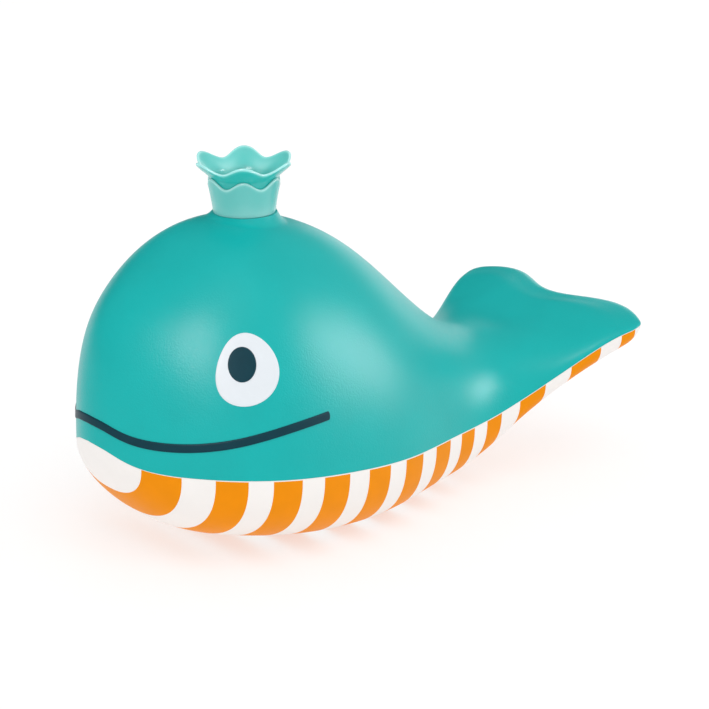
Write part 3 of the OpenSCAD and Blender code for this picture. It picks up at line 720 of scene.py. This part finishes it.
# rings as plain circles of one tint, from a list of radius and height
def plainRings(pairs, tintAndPaintedLight):
    ring = np.array(pairs, float)[:, :, None].repeat(crownTurn.shape[1], 2)
    return ring[:, 0], ring[:, 1], np.full_like(ring[:, 0], tintAndPaintedLight)


# bands of rings, each with radii, heights and tints, closed into one turned piece
def makeTurned(name, bands):
    r, z, tintAndPaintedLight = (np.concatenate(part + (part[0][:1],)) for part in zip(*bands))
    points = np.stack([crownSeat["x"] + r * np.cos(crownTurn), r * np.sin(crownTurn), crownSeat["z"] + z], -1)
    return makePiece(name, points, ringCells(0, *points.shape[:2]), tintAndPaintedLight=tintAndPaintedLight)


def makeCup(s):
    low = -s["stemLength"]
    stem = plainRings([
        (s["stemBore"], low), (s["stemRadius"] - s["stemBevel"], low),
        (s["stemRadius"], low + s["stemBevel"]),
        (s["stemRadius"], -s["grooveBottom"]), (s["grooveRadius"], -s["grooveBottom"]),
        (s["grooveRadius"], -s["grooveTop"]), (s["stemRadius"], -s["grooveTop"]), (s["stemRadius"], 0),
        (s["radius"] - s["footRound"], 0), (s["radius"] - s["footMiddle"], s["footMiddle"]),
    ], s["tints"]["outside"] + s["tints"]["foot"])
    rim = rimAt(s["height"], s["wave"]) - s["wall"] / 2
    wall = wavyWall(cupRadius, s["footRound"], rim, s["wall"], s["floor"] + s["floorRound"], s["tints"])
    inner = cupRadius(s["floor"]) - s["wall"]
    floor = plainRings([
        (inner - s["floorMiddle"], s["floor"] + s["floorMiddle"]), (inner - s["floorRound"], s["floor"]),
        (s["stemBore"], s["floor"]),
    ], s["tints"]["inside"])
    return makeTurned("crownCup", [stem, wall, floor])


def makeFunnel(s):
    low = s["shoulder"] + s["bevel"]
    foot = funnelRadius(low)
    end = -s["tubeLength"]
    tube = plainRings([
        (s["throat"], end), (s["tubeRadius"] - s["tubeBevel"], end), (s["tubeRadius"], end + s["tubeBevel"]),
        (s["tubeRadius"], s["shoulder"]), (foot - s["bevel"], s["shoulder"]),
    ], s["tints"]["outside"])
    rim = rimAt(s["height"], s["wave"]) - s["wall"] / 2
    wall = wavyWall(funnelRadius, low, rim, s["wall"], low + s["wall"], s["tints"])
    floor = s["shoulder"] + s["wall"]
    inner, bend = foot - s["wall"], s["bowlBend"]
    bowl = plainRings([
        (inner - bend[0], floor + bend[1]), (inner - s["bevel"], floor),
        (s["throat"] + s["throatBevel"], floor), (s["throat"], floor - s["throatBevel"]),
    ], s["tints"]["inside"])
    return makeTurned("crownFunnel", [tube, wall, bowl])


cupPiece, funnelPiece = makeCup(crownCup), makeFunnel(crownFunnel)
for piece, nodeName in ((cupPiece, "crown_cup"), (funnelPiece, "crown_funnel")):
    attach(piece, "upper")
    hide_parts(nodeName)
print("crown done")


# finishes

def addNode(tree, kind, **inputs):
    node = tree.nodes.new(kind)
    for key, value in inputs.items():
        node.inputs[key.replace("_", " ")].default_value = value
    return node


# moulded or printed finish: a slow mottle shifts the colour, a fine grain shifts the gloss and
# raises the surface, all on the piece's own Object coordinates
def makeFinish(name, s):
    material = bpy.data.materials.new(name)
    material.use_nodes = True
    tree = material.node_tree
    shader = tree.nodes["Principled BSDF"]
    noiseLow, noiseHigh = 0.3, 0.7  # most values of a noise lie between
    place = tree.nodes.new("ShaderNodeTexCoord")
    mottle = addNode(tree, "ShaderNodeTexNoise", Scale=s["mottleScale"], Detail=3.0, Roughness=0.55)
    grain = addNode(tree, "ShaderNodeTexNoise", Scale=s["grainScale"], Detail=2.0, Roughness=0.6)
    tree.links.new(place.outputs["Object"], mottle.inputs["Vector"])
    tree.links.new(place.outputs["Object"], grain.inputs["Vector"])
    ramp = tree.nodes.new("ShaderNodeValToRGB")
    if "deep" in s:
        # see-through plastic: the piece's tint, which holds painted highlights and painted light as well as
        # the plastic's colour, shifted by the mottle, runs from deep to pale
        tintAndPaintedLight = tree.nodes.new("ShaderNodeAttribute")
        tintAndPaintedLight.attribute_name = "tintAndPaintedLight"
        shift = addNode(tree, "ShaderNodeMapRange")
        shift.inputs["To Min"].default_value, shift.inputs["To Max"].default_value = -s["mottle"], s["mottle"]
        tree.links.new(mottle.outputs["Fac"], shift.inputs["Value"])
        total = tree.nodes.new("ShaderNodeMath")
        tree.links.new(tintAndPaintedLight.outputs["Fac"], total.inputs[0])
        tree.links.new(shift.outputs["Result"], total.inputs[1])
        ramp.color_ramp.elements[0].color = s["deep"] + (1,)
        ramp.color_ramp.elements[1].color = s["pale"] + (1,)
        ramp.color_ramp.elements.new(0.5).color = s["colour"] + (1,)
        tree.links.new(total.outputs["Value"], ramp.inputs["Fac"])
    else:
        low, high = 1 - s["mottle"], 1 + s["mottle"]
        ends = ramp.color_ramp.elements
        ends[0].position, ends[1].position = noiseLow, noiseHigh
        ends[0].color = tuple(min(1, c * low) for c in s["colour"]) + (1,)
        ends[1].color = tuple(min(1, c * high) for c in s["colour"]) + (1,)
        tree.links.new(mottle.outputs["Fac"], ramp.inputs["Fac"])
    tree.links.new(ramp.outputs["Color"], shader.inputs["Base Color"])
    gloss = tree.nodes.new("ShaderNodeMapRange")
    gloss.inputs["From Min"].default_value, gloss.inputs["From Max"].default_value = noiseLow, noiseHigh
    gloss.inputs["To Min"].default_value = s["roughness"] - s["glossShift"]
    gloss.inputs["To Max"].default_value = s["roughness"] + s["glossShift"]
    tree.links.new(grain.outputs["Fac"], gloss.inputs["Value"])
    tree.links.new(gloss.outputs["Result"], shader.inputs["Roughness"])
    bump = addNode(tree, "ShaderNodeBump", Strength=s["bump"], Distance=s["bumpDepth"])
    tree.links.new(grain.outputs["Fac"], bump.inputs["Height"])
    tree.links.new(bump.outputs["Normal"], shader.inputs["Normal"])
    shader.inputs["IOR"].default_value = 1.46
    shader.inputs["Specular IOR Level"].default_value = s.get("specular", 0.5)
    shader.inputs["Transmission Weight"].default_value = s.get("clear", 0.0)
    shader.inputs["Subsurface Weight"].default_value = s.get("soft", 0.0)
    shader.inputs["Subsurface Radius"].default_value = s.get("softRadius", (0.001, 0.001, 0.001))
    shader.inputs["Subsurface Scale"].default_value = s.get("softScale", 0.001)
    return material


finishes = {
    "tealVinyl": {
        "colour": (0.002, 0.43, 0.415), "mottle": 0.03, "mottleScale": 55, "grainScale": 2000,
        "roughness": 0.34, "glossShift": 0.06, "bump": 0.52, "bumpDepth": 0.0001, "specular": 0.22,
    },
    "whiteVinyl": {
        "colour": (0.9, 0.875, 0.85), "mottle": 0.015, "mottleScale": 60, "grainScale": 3000,
        "roughness": 0.45, "glossShift": 0.06, "bump": 0.1, "bumpDepth": 0.0001, "specular": 0.25,
    },
    "orangePrint": {
        "colour": (0.86, 0.275, 0.001), "mottle": 0.03, "mottleScale": 120, "grainScale": 2600,
        "roughness": 0.46, "glossShift": 0.06, "bump": 0.1, "bumpDepth": 0.0001, "specular": 0.08,
    },
    "whitePrint": {
        "colour": (0.76, 0.81, 0.85), "mottle": 0.012, "mottleScale": 300, "grainScale": 3600,
        "roughness": 0.4, "glossShift": 0.05, "bump": 0.08, "bumpDepth": 0.00008, "specular": 0.25,
    },
    "navyPrint": {
        "colour": (0.004, 0.042, 0.06), "mottle": 0.06, "mottleScale": 300, "grainScale": 3600,
        "roughness": 0.42, "glossShift": 0.05, "bump": 0.08, "bumpDepth": 0.00008, "specular": 0.1,
    },
    # the pale end of the clear teal is where the painted highlights on the crown's rims lie
    "clearTeal": {
        "colour": (0.186, 0.635, 0.6), "deep": (0.02, 0.51, 0.475), "pale": (0.47, 0.82, 0.79),
        "mottle": 0.04, "mottleScale": 180, "grainScale": 2600,
        "roughness": 0.22, "glossShift": 0.04, "bump": 0.05, "bumpDepth": 0.00008, "specular": 0.5,
        "soft": 0.7, "softRadius": (0.7, 1.0, 1.0), "softScale": 0.0015,
    },
    "squeakerPlastic": {
        "colour": (0.76, 0.76, 0.69), "mottle": 0.04, "mottleScale": 220, "grainScale": 4200,
        "roughness": 0.48, "glossShift": 0.08, "bump": 0.12, "bumpDepth": 0.00008,
    },
    "reedFilm": {
        "colour": (0.69, 0.46, 0.17), "mottle": 0.06, "mottleScale": 500, "grainScale": 6000,
        "roughness": 0.32, "glossShift": 0.06, "bump": 0.06, "bumpDepth": 0.00005, "clear": 0.25,
    },
}

squeakerNodes = ("neck_ring", "squeaker_barrel", "squeaker_cap", "reed_block", "reed_clamp")
worn = {
    "tealVinyl": [tealUpper],
    "whiteVinyl": [whiteBelly],
    "orangePrint": [orangeStripes],
    "whitePrint": [faceParts["eyeWhiteLeft"], faceParts["eyeWhiteRight"]],
    "navyPrint": [faceParts["pupilLeft"], faceParts["pupilRight"], mouthSmile],
    "clearTeal": [cupPiece, funnelPiece],
    "squeakerPlastic": [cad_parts[n] for n in squeakerNodes],
    "reedFilm": [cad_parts["reed"]],
}
for finishName, pieces in worn.items():
    finish = makeFinish(finishName, finishes[finishName])
    for piece in pieces:
        piece.data.materials.clear()
        piece.data.materials.append(finish)
        piece.data.validate()
print("finishes done")


# stage: a plain pale floor under soft light from all round

stage = {
    "floorSize": 12.0,
    "floorHeight": -0.0001,
    "floorPaper": {
        "colour": (0.45, 0.44, 0.44), "mottle": 0.004, "mottleScale": 4, "grainScale": 900,
        "roughness": 0.9, "glossShift": 0.03, "bump": 0.02, "bumpDepth": 0.0001, "specular": 0.1,
    },
    "floorGlow": 0.575,
    "skyColour": (1.0, 1.0, 1.0),
    "skyStrength": 0.89,
    "backdrop": 1.0,
    "roomFront": (0.0, -1.1, 0.08),
    "roomSpan": (-0.95, 0.9),
    "roomStrength": (0.03, 1.75),
}

# two tall boxes to either side of the camera and a card behind that only show as soft highlights, and
# a high fill from the front that only lights
lights = {
    "leftBox": {
        "place": (-0.97, -0.73, 0.72), "aim": (-0.07, -0.025, 0.065), "width": 0.44, "height": 0.74,
        "roll": 0, "power": 18.0, "colour": (1.0, 0.82, 0.85), "shows": True, "fills": False,
    },
    "rightBox": {
        "place": (0.97, -0.82, 0.3), "aim": (-0.028, -0.038, 0.06), "width": 0.44, "height": 0.74,
        "roll": 28, "power": 16.5, "colour": (1.0, 0.8, 0.84), "shows": True, "fills": False,
    },
    "backCard": {
        "place": (1.68, 0.86, 0.36), "aim": (0.0, 0.0, 0.06), "width": 1.3, "height": 0.66,
        "roll": 0, "power": 4.2, "colour": (1.0, 1.0, 1.0), "shows": True, "fills": False,
    },
    "frontFill": {
        "place": (-0.34, -0.94, 1.73), "aim": (0.0, 0.0, 0.05), "width": 1.2, "height": 1.2,
        "roll": 0, "power": 7.0, "colour": (1.0, 1.0, 1.0), "shows": False, "fills": True,
    },
}


def makeStage(s):
    half, z = s["floorSize"] / 2, s["floorHeight"]
    corners = [(-half, -half, z), (half, -half, z), (half, half, z), (-half, half, z)]
    mesh = bpy.data.meshes.new("paleFloor")
    mesh.from_pydata(corners, [], [(0, 1, 2, 3)])
    floor = bpy.data.objects.new("paleFloor", mesh)
    scene.collection.objects.link(floor)
    paper = makeFinish("floorPaper", s["floorPaper"])
    shader = paper.node_tree.nodes["Principled BSDF"]
    shader.inputs["Emission Color"].default_value = (1, 1, 1, 1)  # lit from behind, as a light table is
    shader.inputs["Emission Strength"].default_value = s["floorGlow"]
    mesh.materials.append(paper)


# even light from all round, while gloss sees a room that is bright on the camera's side and dark
# behind the toy: its strength runs along one direction. Above the floor's far edge the backdrop is white
def makeRoom(s):
    world = bpy.data.worlds.new("studio")
    world.use_nodes = True
    tree = world.node_tree
    even = tree.nodes["Background"]
    even.inputs["Color"].default_value = s["skyColour"] + (1,)
    even.inputs["Strength"].default_value = s["skyStrength"]
    look = tree.nodes.new("ShaderNodeTexCoord")
    along = tree.nodes.new("ShaderNodeVectorMath")
    along.operation = "DOT_PRODUCT"
    along.inputs[1].default_value = s["roomFront"]
    spread = tree.nodes.new("ShaderNodeMapRange")
    spread.interpolation_type = "SMOOTHSTEP"
    spread.inputs["From Min"].default_value, spread.inputs["From Max"].default_value = s["roomSpan"]
    spread.inputs["To Min"].default_value, spread.inputs["To Max"].default_value = s["roomStrength"]
    room = tree.nodes.new("ShaderNodeBackground")
    ray = tree.nodes.new("ShaderNodeLightPath")
    choice = tree.nodes.new("ShaderNodeMixShader")
    tree.links.new(look.outputs["Generated"], along.inputs[0])
    tree.links.new(along.outputs["Value"], spread.inputs["Value"])
    tree.links.new(spread.outputs["Result"], room.inputs["Strength"])
    tree.links.new(ray.outputs["Is Glossy Ray"], choice.inputs["Fac"])
    tree.links.new(even.outputs["Background"], choice.inputs[1])
    tree.links.new(room.outputs["Background"], choice.inputs[2])
    backdrop = addNode(tree, "ShaderNodeBackground", Strength=s["backdrop"])
    backdrop.inputs["Color"].default_value = s["skyColour"] + (1,)
    behind = tree.nodes.new("ShaderNodeMixShader")
    tree.links.new(ray.outputs["Is Camera Ray"], behind.inputs["Fac"])
    tree.links.new(choice.outputs["Shader"], behind.inputs[1])
    tree.links.new(backdrop.outputs["Background"], behind.inputs[2])
    tree.links.new(behind.outputs["Shader"], tree.nodes["World Output"].inputs["Surface"])
    scene.world = world


def makeLights(boxes):
    for name, s in boxes.items():
        data = bpy.data.lights.new(name, "AREA")
        data.shape, data.size, data.size_y, data.energy = "RECTANGLE", s["width"], s["height"], s["power"]
        data.color = s["colour"]
        light = bpy.data.objects.new(name, data)
        light.visible_camera, light.visible_diffuse, light.visible_glossy = False, s["fills"], s["shows"]
        light.location = s["place"]
        aim = Vector(s["place"]) - Vector(s["aim"])
        light.rotation_mode = "QUATERNION"
        roll = Quaternion((0, 0, 1), math.radians(s["roll"]))
        light.rotation_quaternion = aim.to_track_quat("Z", "Y") @ roll
        scene.collection.objects.link(light)


makeStage(stage)
makeRoom(stage)
makeLights(lights)
scene.view_settings.view_transform = "Standard"
print("stage done")
